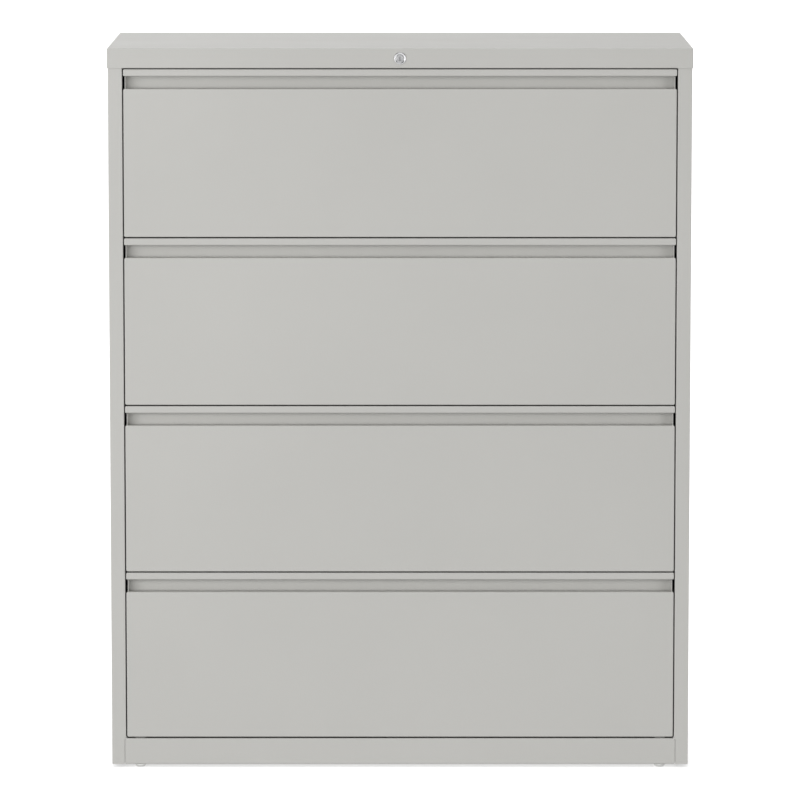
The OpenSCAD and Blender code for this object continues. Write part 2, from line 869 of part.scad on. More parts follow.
side_panel_left();
side_panel_right();
back_panel();
top_cap();
top_front_rail();
bottom_pan();
base_rail_front();
base_rail_rear();
uprights_front();
uprights_rear();
corner_brackets();
counterweight();
counterweight_bolts();
back_screws();
slide_outer_left();
slide_outer_right();
slide_bumpers();
lock_housing();
lock_nut();
lock_guides();
lock_plug();
lock_cam();
lock_rod();
lock_bar();
glide_front_left();
glide_front_right();
glide_rear_left();
glide_rear_right();
for (k = [1:drawer_count]) {
    drawer_front(k);
    drawer_liner(k);
    drawer_box(k);
    hang_rails(k);
    slide_inner(k);
    slide_mid(k);
    ball_cages(k);
    drawer_catch(k);
}
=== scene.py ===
"""Looks of the four-drawer lateral filing cabinet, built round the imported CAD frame.

Lengths are in metres, in the frame of the CAD: X to the right, Y from front to back, Z up.
"""

import json
import math

import bmesh
import bpy
from mathutils import Matrix, Vector


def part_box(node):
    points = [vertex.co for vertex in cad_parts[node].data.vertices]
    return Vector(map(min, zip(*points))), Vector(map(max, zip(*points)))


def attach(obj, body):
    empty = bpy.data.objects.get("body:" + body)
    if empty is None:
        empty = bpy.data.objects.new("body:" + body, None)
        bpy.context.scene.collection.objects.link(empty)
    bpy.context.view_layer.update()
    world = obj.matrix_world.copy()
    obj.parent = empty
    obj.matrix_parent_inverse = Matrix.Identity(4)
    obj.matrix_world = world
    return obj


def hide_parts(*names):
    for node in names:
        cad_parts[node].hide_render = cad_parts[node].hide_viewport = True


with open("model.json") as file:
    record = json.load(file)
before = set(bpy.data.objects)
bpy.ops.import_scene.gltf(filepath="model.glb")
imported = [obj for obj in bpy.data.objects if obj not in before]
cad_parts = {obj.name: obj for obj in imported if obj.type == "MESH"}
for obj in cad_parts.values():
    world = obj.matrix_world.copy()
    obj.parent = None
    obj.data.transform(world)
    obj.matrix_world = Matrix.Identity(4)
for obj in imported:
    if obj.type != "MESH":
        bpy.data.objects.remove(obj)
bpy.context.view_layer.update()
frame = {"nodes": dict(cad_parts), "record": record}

MM = 0.001
DRAWERS = range(1, 5)


# ---------- materials ----------

NOISE_LOW, NOISE_HIGH = 0.35, 0.65  # a noise seldom leaves this range


class Nodes:
    """A new material with its Principled shader, and short ways to add nodes to it."""

    def __init__(self, name):
        self.material = bpy.data.materials.new(name)
        self.material.use_nodes = True
        self.tree = self.material.node_tree
        self.shader = self.tree.nodes["Principled BSDF"]
        self.place = self.add("ShaderNodeTexCoord").outputs["Object"]

    def add(self, kind, **settings):
        node = self.tree.nodes.new(kind)
        for key, value in settings.items():
            setattr(node, key, value)
        return node

    def link(self, start, end):
        self.tree.links.new(start, end)

    def stretched(self, scale):
        """Object coordinates multiplied by scale, one number for each axis."""
        mapping = self.add("ShaderNodeMapping")
        mapping.inputs["Scale"].default_value = scale
        self.link(self.place, mapping.inputs["Vector"])
        return mapping.outputs["Vector"]

    def noise(self, scale, detail=2.0, rough=0.5, vector=None):
        """Value of a noise with this many features to the metre."""
        node = self.add("ShaderNodeTexNoise")
        node.inputs["Scale"].default_value = scale
        node.inputs["Detail"].default_value = detail
        node.inputs["Roughness"].default_value = rough
        self.link(vector or self.place, node.inputs["Vector"])
        return node.outputs["Fac"]

    def spread(self, value, low, high, start=NOISE_LOW, stop=NOISE_HIGH):
        """Value carried from start..stop to low..high."""
        node = self.add("ShaderNodeMapRange")
        node.inputs["From Min"].default_value = start
        node.inputs["From Max"].default_value = stop
        node.inputs["To Min"].default_value = low
        node.inputs["To Max"].default_value = high
        self.link(value, node.inputs["Value"])
        return node.outputs["Result"]

    def math(self, operation, *values):
        node = self.add("ShaderNodeMath", operation=operation)
        for socket, value in zip(node.inputs, values):
            if isinstance(value, (int, float)):
                socket.default_value = value
            else:
                self.link(value, socket)
        return node.outputs["Value"]

    def between(self, value, reach):
        """1 where the value lies within reach of 0, and 0 elsewhere."""
        return self.math("LESS_THAN", self.math("ABSOLUTE", value), reach)

    def edges(self, reach):
        """1 at the sharp edges and bends of the surface, falling to 0 within reach of them."""
        bent, flat = 0.86, 0.995  # cosines of the angle between the rounded and the true normal
        rounded = self.add("ShaderNodeBevel", samples=4)
        rounded.inputs["Radius"].default_value = reach
        facing = self.add("ShaderNodeVectorMath", operation="DOT_PRODUCT")
        self.link(rounded.outputs["Normal"], facing.inputs[0])
        self.link(self.add("ShaderNodeNewGeometry").outputs["Normal"], facing.inputs[1])
        return self.spread(facing.outputs["Value"], 1, 0, bent, flat)

    def creases(self, reach):
        """1 deep in gaps narrower than reach, falling to 0 in open corners and on faces; the mask
        for painted shade.
        """
        deep, open_corner = 0.12, 0.3  # shares of the surroundings that the surface still sees
        shut_in = self.add("ShaderNodeAmbientOcclusion", samples=4)
        shut_in.inputs["Distance"].default_value = reach
        return self.spread(shut_in.outputs["AO"], 1, 0, deep, open_corner)

    def mixed(self, value, colour_a, colour_b):
        """Colour that goes from a to b with value."""
        node = self.add("ShaderNodeMix", data_type="RGBA")
        node.inputs["A"].default_value = (*colour_a, 1)
        node.inputs["B"].default_value = (*colour_b, 1)
        self.link(value, node.inputs["Factor"])
        return node.outputs["Result"]

    def bump(self, height, strength, distance, below=None):
        """Normal raised by height, on top of the normal below."""
        node = self.add("ShaderNodeBump")
        node.inputs["Strength"].default_value = strength
        node.inputs["Distance"].default_value = distance
        self.link(height, node.inputs["Height"])
        if below:
            self.link(below, node.inputs["Normal"])
        return node.outputs["Normal"]

    def finish(self, colour=None, roughness=None, normal=None, **constants):
        """Links what is given to the shader, sets its other sockets, and returns the material."""
        linked = (("Base Color", colour), ("Roughness", roughness), ("Normal", normal))
        for socket, source in linked:
            if source is not None:
                self.link(source, self.shader.inputs[socket])
        for socket, value in constants.items():
            self.shader.inputs[socket.replace("_", " ")].default_value = value
        return self.material


def shade(colour, factor):
    return tuple(channel * factor for channel in colour)


def powder_coat(name, colour):
    """Satin powder coat: orange peel, clouds of tone, wiped smears, rubbed bends, and painted
    shade that darkens the paint deep in narrow gaps.
    """
    rub_reach, rub_brighter, rub_glossier = 0.0012, 0.07, 0.12
    # painted shade: how far the occlusion test reaches, and how much darker it makes the paint in
    # gaps
    painted_shade_reach, painted_shade_darker = 0.008, 0.8
    n = Nodes(name)
    clouds = n.spread(n.noise(2.2, detail=4), 0, 1)
    specks = n.spread(n.noise(1400), 0.97, 1.03)
    smears = n.spread(n.noise(7, 5, 0.6, n.stretched((0.6, 1, 1.8))), 0.40, 0.47)
    patchy = n.spread(n.noise(55, detail=4), 0.2, 1)
    rubbed = n.math("MULTIPLY", n.edges(rub_reach), patchy)
    peel = n.bump(n.noise(700), strength=0.30, distance=0.0005)
    waves = n.bump(n.noise(3.2, detail=1), strength=0.10, distance=0.0016, below=peel)
    wear_and_painted_shade = n.add("ShaderNodeHueSaturation")
    n.link(n.mixed(clouds, shade(colour, 0.985), shade(colour, 1.015)), wear_and_painted_shade.inputs["Color"])
    # painted shade: the paint is darkened deep in gaps narrower than the reach, on top of random
    # specks of tone
    specks_and_painted_shade = n.math("SUBTRACT", specks, n.math("MULTIPLY", n.creases(painted_shade_reach), painted_shade_darker))
    value = n.math("ADD", n.math("MULTIPLY", rubbed, rub_brighter), specks_and_painted_shade)
    n.link(value, wear_and_painted_shade.inputs["Value"])
    return n.finish(
        colour=wear_and_painted_shade.outputs["Color"],
        roughness=n.math("SUBTRACT", smears, n.math("MULTIPLY", rubbed, rub_glossier)),
        normal=waves,
        Specular_IOR_Level=0.42,
    )


def zinc(name, colour, along=(1, 1, 1)):
    """Bright zinc plate over drawn steel, with streaks along the drawing and a faint bloom."""
    n = Nodes(name)
    streaks = n.noise(420, 3, 0.6, n.stretched(along))
    bloom = n.spread(n.noise(28, 4, 0.6), 0, 1)
    return n.finish(
        colour=n.mixed(bloom, shade(colour, 0.88), shade(colour, 1.06)),
        roughness=n.spread(streaks, 0.34, 0.5),
        normal=n.bump(streaks, strength=0.12, distance=0.00006),
        Metallic=1.0,
    )


def polished(name, colour, roughness):
    """Plated and polished metal with fine rub marks."""
    n = Nodes(name)
    rubs = n.noise(900, 4, 0.7, n.stretched((1, 1, 6)))
    haze = n.spread(n.noise(160, detail=3), 0, 1)
    return n.finish(
        colour=n.mixed(haze, shade(colour, 0.95), colour),
        roughness=n.spread(rubs, roughness, roughness + 0.09),
        normal=n.bump(rubs, strength=0.05, distance=0.00002),
        Metallic=1.0,
    )


def moulded(name, colour, roughness, grain=1500, depth=0.0001):
    """Moulded plastic or rubber with a fine spark-eroded grain."""
    n = Nodes(name)
    grains = n.noise(grain, 3, 0.6)
    patches = n.spread(n.noise(60, detail=3), 0, 1)
    return n.finish(
        colour=n.mixed(patches, shade(colour, 0.9), shade(colour, 1.06)),
        roughness=n.spread(grains, roughness - 0.06, roughness + 0.08),
        normal=n.bump(grains, strength=0.25, distance=depth),
    )


def sand_cast(name, colour):
    """Sand-cast iron under thin black paint, pitted, with patches of dull rust."""
    rust_colour = (0.16, 0.07, 0.035)
    n = Nodes(name)
    lumps = n.noise(190, 5, 0.65)
    rust = n.spread(n.noise(35, 5, 0.7), 0, 1, start=0.52, stop=0.68)
    return n.finish(
        colour=n.mixed(rust, colour, rust_colour),
        roughness=n.spread(lumps, 0.62, 0.86),
        normal=n.bump(lumps, strength=0.5, distance=0.0006),
    )


record_colour = {m["slot"]: tuple(m["base_color"][:3]) for m in frame["record"]["materials"]}
materials = {
    "case_paint": powder_coat("case_paint", record_colour["case_paint"]),
    "zinc_steel": zinc("zinc_steel", shade(record_colour["zinc_steel"], 0.78), (1, 0.08, 1)),
    "ball_steel": polished("ball_steel", record_colour["ball_steel"], 0.06),
    "cast_iron": sand_cast("cast_iron", record_colour["cast_iron"]),
    "black_rubber": moulded("black_rubber", record_colour["black_rubber"], 0.7),
    "black_plastic": moulded("black_plastic", record_colour["black_plastic"], 0.5),
    "lock_chrome": polished("lock_chrome", shade(record_colour["lock_chrome"], 0.7), 0.15),
    "lock_steel": polished("lock_steel", shade(record_colour["lock_steel"], 0.74), 0.22),
    "nylon": moulded("nylon", record_colour["nylon"], 0.42, grain=700, depth=0.00006),
}

node_slot = {s["node"]: s["material_slot"] for s in frame["record"]["subparts"]}
node_body = {
    node: body
    for body, nodes in frame["record"]["behaviour"]["bodies"].items()
    for node in nodes
}
for node, obj in frame["nodes"].items():
    obj.data.materials.clear()
    obj.data.materials.append(materials[node_slot[node]])


# ---------- shapes ----------
# Shapes are gathered in millimetres. A section is drawn in two directions u and v and swept or
# placed along a third, s. A place function turns u, v and s into a point.

SMOOTH_ANGLE = math.radians(32)
BEND_STEPS = 8
TINY = 1e-6


class Shape:
    """Points in millimetres with the faces between them."""

    def __init__(self, points=(), faces=()):
        self.points = list(points)
        self.faces = list(faces)

    def add(self, *others):
        """Takes in the points and faces of the other shapes."""
        for other in others:
            first = len(self.points)
            self.points += other.points
            self.faces += [[first + i for i in face] for face in other.faces]

    def mirrored(self):
        """The shape's mirror image across x = 0."""
        return Shape([(-x, y, z) for x, y, z in self.points], [f[::-1] for f in self.faces])

    def mesh(self, name):
        data = bpy.data.meshes.new(name)
        data.from_pydata([[c * MM for c in p] for p in self.points], [], self.faces)
        work = bmesh.new()
        work.from_mesh(data)
        bmesh.ops.recalc_face_normals(work, faces=work.faces)
        work.to_mesh(data)
        work.free()
        return data


def across(u, v, s):
    """Section in Y and Z, swept along X."""
    return (s, u, v)


def upright(u, v, s):
    """Section in X and Y, swept along Z."""
    return (u, v, s)


def inward(u, v, s):
    """Section in X and Z, swept along Y."""
    return (u, s, v)


def round_y(x, z):
    """Place function for what turns about a line along Y."""
    return lambda u, v, s: (x + u, s, z + v)


def round_z(x, y):
    """Place function for what turns about a line along Z."""
    return lambda u, v, s: (x + u, y + v, s)


def corner_arc(a, b, c, radius, steps):
    """Points of the arc that rounds the corner at b of the path a, b, c."""
    straight = 0.01
    before, after = (b - a).normalized(), (c - b).normalized()
    turn = math.atan2(before.x * after.y - before.y * after.x, before.dot(after))
    if abs(turn) < straight:
        return [b]
    start = b - before * radius * math.tan(abs(turn) / 2)
    centre = start + math.copysign(radius, turn) * Vector((-before.y, before.x))
    spoke = start - centre
    return [centre + Matrix.Rotation(turn * i / steps, 2) @ spoke for i in range(steps + 1)]


def moved_left(path, distance):
    """Corners of the path, moved to its left."""
    lefts = []
    for a, b in zip(path, path[1:]):
        step = (b - a).normalized()
        lefts.append(Vector((-step.y, step.x)))
    moved = []
    for i, point in enumerate(path):
        m, n = lefts[max(i - 1, 0)], lefts[min(i, len(lefts) - 1)]
        moved.append(point + distance * (m + n) / (1 + m.dot(n)))
    return moved


def folded(path, thickness, inside):
    """Both faces of a folded sheet, as lists of points that pair up.

    The metal lies left of the path, and inside is the radius on the inner side of a bend.
    """
    faces = []
    for distance in (0, thickness):
        corners = moved_left(path, distance)
        points = [corners[0]]
        for a, b, c in zip(corners, corners[1:], corners[2:]):
            turns_left = (b.x - a.x) * (c.y - b.y) - (b.y - a.y) * (c.x - b.x) > 0
            radius = inside + thickness - distance if turns_left else inside + distance
            points += corner_arc(a, b, c, radius, BEND_STEPS)
        faces.append(points + [corners[-1]])
    return faces


def band(count, row):
    """Faces between one ring of count points and the next, for this row of rings."""
    start = row * count
    return [
        [start + i, start + (i + 1) % count, start + count + (i + 1) % count, start + count + i]
        for i in range(count)
    ]


def sheet(path, thickness, inside, place, stations, ends=None, press=None):
    """A folded sheet swept through the stations.

    ends(point) gives where the sweep starts and stops at a point of the section, and
    press(point, station) how far the sheet is pressed to the left of its path there.
    """
    base, other = folded([Vector(p) for p in path], thickness, inside)
    shape = Shape()
    count = len(base)
    for k, station in enumerate(stations):
        ring = []
        for p, q in zip(base, other):
            s = station
            if ends and k in (0, len(stations) - 1):
                s = ends(p)[0 if k == 0 else 1]
            push = (q - p).normalized() * press(p, s) if press else Vector((0, 0))
            ring.append((place(*(p + push), s), place(*(q + push), s)))
        shape.points += [pair[0] for pair in ring] + [pair[1] for pair in reversed(ring)]
    loop = 2 * count
    for row in range(len(stations) - 1):
        shape.faces += band(loop, row)
    for start in (0, loop * (len(stations) - 1)):
        shape.faces += [
            [start + i, start + i + 1, start + loop - 2 - i, start + loop - 1 - i]
            for i in range(count - 1)
        ]
    return shape


def spaced(low, high, step):
    """Numbers from low to high, at most a step apart."""
    count = max(1, math.ceil((high - low) / step))
    return [low + (high - low) * i / count for i in range(count + 1)]


def stadium_press(a, b, half_width, slope, depth):
    """Depth of a pressed bead round the line from a to b, with sloping sides and round ends."""
    a, b = Vector(a), Vector(b)

    def depth_at(point):
        along = (point - a).dot(b - a) / (b - a).length_squared
        distance = (point - (a + (b - a) * min(1, max(0, along)))).length
        t = min(1, max(0, (half_width + slope - distance) / slope))
        return depth * t * t * (3 - 2 * t)

    return depth_at


def rounded_loop(x0, x1, y0, y1, radius, steps=6, extra=()):
    """Points round a rectangle with rounded corners, with extra x positions on its y0 side."""
    loop = []
    for x, y, start in ((x0, y0, 180), (x1, y0, 270), (x1, y1, 0), (x0, y1, 90)):
        cx = x + radius if x == x0 else x - radius
        cy = y + radius if y == y0 else y - radius
        loop += arc_points(cx, cy, radius, start, start + 90, steps)
        if start == 180:
            loop += [(value, y0) for value in extra]
    return loop


def arc_points(cx, cy, radius, start, stop, steps=5):
    """Points on an arc, with its angles in degrees."""
    angles = [math.radians(start + (stop - start) * i / steps) for i in range(steps + 1)]
    return [(cx + radius * math.cos(a), cy + radius * math.sin(a)) for a in angles]


def round_edge(radius, steps=6):
    """Insets and depths of a rounded edge, from the face back to the side."""
    angles = [math.pi / 2 * i / steps for i in range(steps + 1)]
    return [(radius * (1 - math.sin(a)), radius * (1 - math.cos(a))) for a in angles]


def loft(rings):
    """A closed shape through rings of points, with a face over each end."""
    shape = Shape()
    count = len(rings[0])
    for ring in rings:
        shape.points += ring
    for row in range(len(rings) - 1):
        shape.faces += band(count, row)
    shape.faces.append(list(range(count)))
    shape.faces.append([count * (len(rings) - 1) + i for i in range(count)])
    return shape


def prism(loop, place, low, high):
    """A section closed over both ends, between two stations."""
    return loft([[place(u, v, s) for u, v in loop] for s in (low, high)])


def turned(profile, place, segments=64, closed=False):
    """A profile of (radius, height) turned about an axis; a closed one makes a ring."""
    shape = Shape()
    rings = []
    for radius, height in profile:
        if radius < TINY:
            rings.append([len(shape.points)] * segments)
            shape.points.append(place(0, 0, height))
            continue
        first = len(shape.points)
        for i in range(segments):
            angle = 2 * math.pi * i / segments
            shape.points.append(place(radius * math.cos(angle), radius * math.sin(angle), height))
        rings.append(list(range(first, first + segments)))
    following = rings[1:] + rings[:1] if closed else rings[1:]
    for a, b in zip(rings, following):
        for i in range(segments):
            j = (i + 1) % segments
            face = list(dict.fromkeys([a[i], a[j], b[j], b[i]]))
            if len(face) > 2:
                shape.faces.append(face)
    return shape


def drill(radius, low, high, place, segments=64):
    """A cylinder between two heights, which cuts a round hole."""
    profile = [(0, low), (radius, low), (radius, high), (0, high)]
    return turned(profile, place, segments)


def fillet(corner, before, after, radius, steps=4):
    """Points that round one corner of a turned profile."""
    arc = corner_arc(Vector(before), Vector(corner), Vector(after), radius, steps)
    return [tuple(p) for p in arc]


def cut(obj, shape):
    """Cuts the shape out of the object."""
    cutter = bpy.data.objects.new("cutter", shape.mesh("cutter"))
    bpy.context.scene.collection.objects.link(cutter)
    modifier = obj.modifiers.new("cut", "BOOLEAN")
    modifier.operation = "DIFFERENCE"
    modifier.solver = "EXACT"
    modifier.object = cutter
    evaluated = obj.evaluated_get(bpy.context.evaluated_depsgraph_get())
    result = bpy.data.meshes.new_from_object(evaluated)
    obj.modifiers.remove(modifier)
    obj.data = result
    bpy.data.objects.remove(cutter)


def piece(name, shape, node, holes=None):
    """The shape as a piece that stands for the CAD node, with its body, slot and material."""
    slot = node_slot[node]
    obj = bpy.data.objects.new(name, shape.mesh(name))
    bpy.context.scene.collection.objects.link(obj)
    if holes:
        cut(obj, holes)
    obj.data.materials.clear()
    obj.data.materials.append(materials[slot])
    obj.data.polygons.foreach_set("use_smooth", [True] * len(obj.data.polygons))
    obj.data.set_sharp_from_angle(angle=SMOOTH_ANGLE)
    even = obj.modifiers.new("even", "WEIGHTED_NORMAL")
    even.keep_sharp = True
    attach(obj, node_body[node])
    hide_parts(node)
    return obj


def box_mm(node):
    """Lowest and highest corner of a CAD node, in millimetres."""
    low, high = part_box(node)
    return Vector(low) / MM, Vector(high) / MM


# ---------- case ----------

CASE_T = 1.2
CASE_BEND = 0.8
GLIDE_X = 480
ACCESS_R = 9.7
GLIDE_HOLE_R = 5

cap_low, cap_high = box_mm("top_cap")
side_low, side_high = box_mm("side_panel_left")
rail_low, rail_high = box_mm("base_rail_front")
rear_low, rear_high = box_mm("base_rail_rear")
back_low, back_high = box_mm("back_panel")


def lock_axis():
    """X and Z of the lock's axis."""
    low, high = box_mm("lock_housing")
    return (low.x + high.x) / 2, (low.z + high.z) / 2


def top_cap():
    """A pan over the case, with a flange folded in under its front skirt between the posts."""
    edge, corner, lip_bend = 1.7, 2.4, 1.9
    flange_x, flange_depth, flange_end = 505, 16, 0.8
    lock_hole_r, hole_reach = 9.6, 3
    top, low = cap_high.z, cap_low.z
    t = CASE_T
    # The skirt's lower edge, where it is plain and where it turns into the flange. Both have
    # the same number of points.
    nip = t / 2 - 0.1
    plain = arc_points(nip, low + nip, nip, 180, 270) + [(t / 2 - 0.05, low), (t / 2 + 0.05, low)]
    plain += arc_points(t - nip, low + nip, nip, 270, 360)
    flange = arc_points(lip_bend, low + lip_bend, lip_bend, 180, 270)
    flange += [(flange_depth, low), (flange_depth, low + t)]
    flange += arc_points(lip_bend, low + lip_bend, lip_bend - t, 270, 180)
    profile = [((inset, top - depth),) * 2 for inset, depth in round_edge(edge)]
    profile += list(zip(plain, flange))
    inner = [(t + inset, top - t - depth) for inset, depth in round_edge(edge - t)]
    profile += [(point, point) for point in reversed(inner)]
    full_x = flange_x - flange_end
    rings = []
    for (inset, z), folded_in in profile:
        loop = rounded_loop(
            cap_low.x + inset, cap_high.x - inset, cap_low.y + inset, cap_high.y - inset,
            max(corner - inset, 0.3), extra=(-flange_x, -full_x, full_x, flange_x),
        )
        ring = []
        for x, y in loop:
            if y == cap_low.y + inset and abs(abs(x) - full_x) < TINY:
                ring.append((x, cap_low.y + folded_in[0], folded_in[1]))
            else:
                ring.append((x, y, z))
        rings.append(ring)
    skirt = cap_low.y
    hole = drill(lock_hole_r, skirt - hole_reach, skirt + hole_reach, round_y(*lock_axis()))
    piece("top_cap_pan", loft(rings), "top_cap", holes=hole)


def side_panels():
    """Each side is one sheet, folded round into the front post and the rear flange."""
    post_x, post_depth, post_lip_x, rear_flange = -506, 30, -515, 27
    notch_gap_x, notch_gap_z, notch_r = 0.7, 0.3, 3.8
    x, front, back = side_low.x, side_low.y, side_high.y
    path = [
        (x + rear_flange, back), (x, back), (x, front), (post_x, front),
        (post_x, front + post_depth), (post_lip_x, front + post_depth),
    ]
    panel = sheet(path, CASE_T, CASE_BEND, upright, [side_low.z, side_high.z])
    notch_x, notch_z = rail_low.x - notch_gap_x, rail_high.z + notch_gap_z
    beyond_x, beneath = -500, -5
    outline = [(notch_x, beneath), (beyond_x, beneath), (beyond_x, notch_z)]
    outline += arc_points(notch_x + notch_r, notch_z - notch_r, notch_r, 90, 180, 6)
    notch = prism(outline, inward, front - 1, front + post_depth + 1)
    piece("side_panel_left_sheet", panel, "side_panel_left", holes=notch)
    piece(
        "side_panel_right_sheet", panel.mirrored(), "side_panel_right", holes=notch.mirrored()
    )


def back_panel():
    """One sheet with three pressed ribs that end round, short of its edges."""
    half_width, slope, depth = 18, 9, 5
    below_ribs, above_ribs = 70, 90
    ribs = (-270, 0, 270)
    step = 3
    reach = half_width + slope
    y, low, high = back_high.y, back_low.z, back_high.z
    first, last = low + below_ribs, high - above_ribs
    presses = [stadium_press((x, first), (x, last), half_width, slope, depth) for x in ribs]
    path = [back_high.x]
    for x in reversed(ribs):
        path += reversed(spaced(x - reach, x + reach, step))
    path.append(back_low.x)
    stations = [low] + spaced(first - reach, first, step)
    stations += spaced(last, last + reach, step) + [high]
    shape = sheet(
        [(x, y) for x in path], CASE_T, CASE_BEND, upright, stations,
        press=lambda p, s: max(f(Vector((p.x, s))) for f in presses),
    )
    piece("back_panel_sheet", shape, "back_panel")


def base_rails():
    """Channels with rounded top corners, and a hole over and under each glide."""
    for name, low, high, sign, top_w, bottom_w, glide_y, corner in (
        ("front", rail_low, rail_high, 1, 44, 30, -224, 3.5),
        ("rear", rear_low, rear_high, -1, 38, 31, 219, 2.0),
    ):
        face = low.y if sign > 0 else -high.y

        def place(u, v, s):
            return (s, sign * u, v)

        def half(p):
            rise = max(0, p.y - (high.z - corner))
            x = high.x - corner + math.sqrt(max(0, corner**2 - rise**2))
            return (-x, x)

        path = [
            (face + top_w, high.z), (face, high.z), (face, high.z - 2.4), (face, high.z - 3.5),
            (face, low.z), (face + bottom_w, low.z),
        ]
        shape = sheet(path, CASE_T, CASE_BEND, place, [low.x, high.x], ends=half)
        holes = Shape()
        for x in (-GLIDE_X, GLIDE_X):
            axis = round_z(x, glide_y)
            holes.add(drill(ACCESS_R, high.z - 8, high.z + 5, axis))
            holes.add(drill(GLIDE_HOLE_R, low.z - 3, low.z + 6, axis))
        piece(f"base_rail_{name}_channel", shape, f"base_rail_{name}", holes=holes)


def back_screws():
    """Pan-head screws with a cross recess."""
    head_r, shank_r, rows = 4, 2, 6
    arm_reach, arm_half, recess_depth = 2.3, 0.45, 0.95
    narrow_u, narrow_v = 0.55, 0.8
    low, high = box_mm("back_screws")
    head_y = high.y
    profile = [
        (0, head_y), (1.6, head_y - 0.05), (2.9, head_y - 0.35), (3.7, head_y - 0.85),
        (head_r, head_y - 1.3), (shank_r, head_y - 1.3), (shank_r, low.y + 1), (0, low.y),
    ]
    arm = [
        (arm_reach, arm_half), (arm_half, arm_half), (arm_half, arm_reach),
        (-arm_half, arm_reach), (-arm_half, arm_half), (-arm_reach, arm_half),
    ]
    outline = arm + [(-u, -v) for u, v in arm]
    height = high.z - low.z - 2 * head_r
    shape, crosses = Shape(), Shape()
    for x in (high.x - head_r, low.x + head_r):
        for row in range(rows):
            place = round_y(x, low.z + head_r + height * row / (rows - 1))
            shape.add(turned(profile, place, 40))
            crosses.add(loft([
                [place(u, v, head_y + 1) for u, v in outline],
                [place(u * narrow_u, v * narrow_v, head_y - recess_depth) for u, v in outline],
            ]))
    piece("back_screws_pan_head", shape, "back_screws", holes=crosses)


# ---------- lock and glides ----------


def lock_front():
    """Barrel with a polished, dished bezel, and the plug with its keyway."""
    bore_r, barrel_r, plug_r, body_length = 7.55, 9.5, 7.5, 30.5
    low, high = box_mm("lock_housing")
    x, z = lock_axis()
    place = round_y(x, z)
    skirt, rim = cap_low.y, (high.x - low.x) / 2
    front = low.y
    profile = [(bore_r, skirt - 1.5), (bore_r + 0.15, skirt - 1.65)]
    profile += [(bore_r + 0.9, skirt - 1.9), (rim - 2.0, front + 0.12)]
    profile += arc_points(rim - 1.45, front + 0.62, 0.62, -125, -60)
    profile += [(rim - 0.45, front + 0.5), (rim - 0.12, front + 0.95)]
    profile += [(rim, front + 1.5), (rim, skirt - 0.05)]
    profile += [(barrel_r, skirt - 0.05), (barrel_r, high.y), (bore_r, high.y)]
    piece("lock_bezel", turned(profile, place, 128, closed=True), "lock_housing")

    plug_low, plug_high = box_mm("lock_plug")
    face, shoulder = plug_low.y, skirt + body_length
    profile = [(0, face + 0.12), (5.6, face), (5.75, face + 0.22), (6.05, face + 0.22)]
    profile += [(6.2, face), (7.1, face), (7.4, face + 0.12)]
    profile += [(plug_r, face + 0.4), (plug_r, shoulder), (0, shoulder)]
    shape = turned(profile, place, 96)
    square = rounded_loop(x - 3.5, x + 3.5, z - 3.5, z + 3.5, 0.4, 3)
    shape.add(prism(square, inward, shoulder - 1, plug_high.y))
    slot = [
        (-1.1, -4.2), (-0.7, -4.6), (0.7, -4.6), (1.1, -4.2), (1.1, -1.4), (0.35, -1.0),
        (0.35, 0.4), (1.1, 0.9), (1.1, 3.4), (0.7, 3.8), (-0.7, 3.8), (-1.1, 3.4),
        (-1.1, 2.2), (-1.9, 2.2), (-1.9, -0.6), (-1.1, -0.6),
    ]
    keyway = prism([(x + u, z + v) for u, v in slot], inward, face - 2, face + 12)
    piece("lock_plug_keyway", shape, "lock_plug", holes=keyway)


def glides():
    """A moulded nylon foot on a threaded, slotted steel stem."""
    foot_top, flare_r, sole_r, sole_z = 5.8, 7, 5.6, 0.02
    pitch, root_r, thread_depth, stem_z = 1.25, 3.45, 0.55, 2.1
    slot_half, slot_depth, slot_reach = 0.6, 2, 5
    sides, steps = 24, 5
    for node in ("glide_front_left", "glide_front_right", "glide_rear_left", "glide_rear_right"):
        low, high = box_mm(node)
        x, y = (low.x + high.x) / 2, (low.y + high.y) / 2
        place = round_z(x, y)
        rim = (high.x - low.x) / 2
        profile = [(0, sole_z), (sole_r, sole_z)]
        profile += fillet((flare_r, sole_z), (5, sole_z), (rim, 3.4), 0.8)
        profile += fillet((rim, 3.4), (flare_r, sole_z), (rim, foot_top), 0.9)
        profile += fillet((rim, foot_top), (rim, 3), (5, foot_top), 0.8)
        profile += [(4.6, foot_top), (4.05, 5.3), (4.05, 2), (0, 2)]
        piece(f"{node}_foot", turned(profile, place, 72), node)

        rings = []
        count = int((high.z - 3.0) / pitch * steps)
        for i in range(count + 1):
            z = stem_z + (high.z - stem_z) * i / count
            ring = []
            for j in range(sides):
                wave = (z / pitch - j / sides) % 1
                radius = root_r + thread_depth * (1 - abs(2 * wave - 1))
                radius = min(radius, 3.3 + (high.z - z) * 0.9)
                angle = 2 * math.pi * j / sides
                ring.append(place(radius * math.cos(angle), radius * math.sin(angle), z))
            rings.append(ring)
        outline = [
            (x - slot_reach, y - slot_half), (x + slot_reach, y - slot_half),
            (x + slot_reach, y + slot_half), (x - slot_reach, y + slot_half),
        ]
        slot = prism(outline, upright, high.z - slot_depth, high.z + 2)
        stem = piece(f"{node}_stem", loft(rings), node, holes=slot)
        stem.data.materials[0] = materials["zinc_steel"]


# ---------- drawers ----------

DRAWER_T = 1.0
LIP_H = 12.8
PULL_H = 23.2
FACE_T = 23
SIDE_FLANGE = 10  # of the drawer's side walls, which the hanging rails stand on


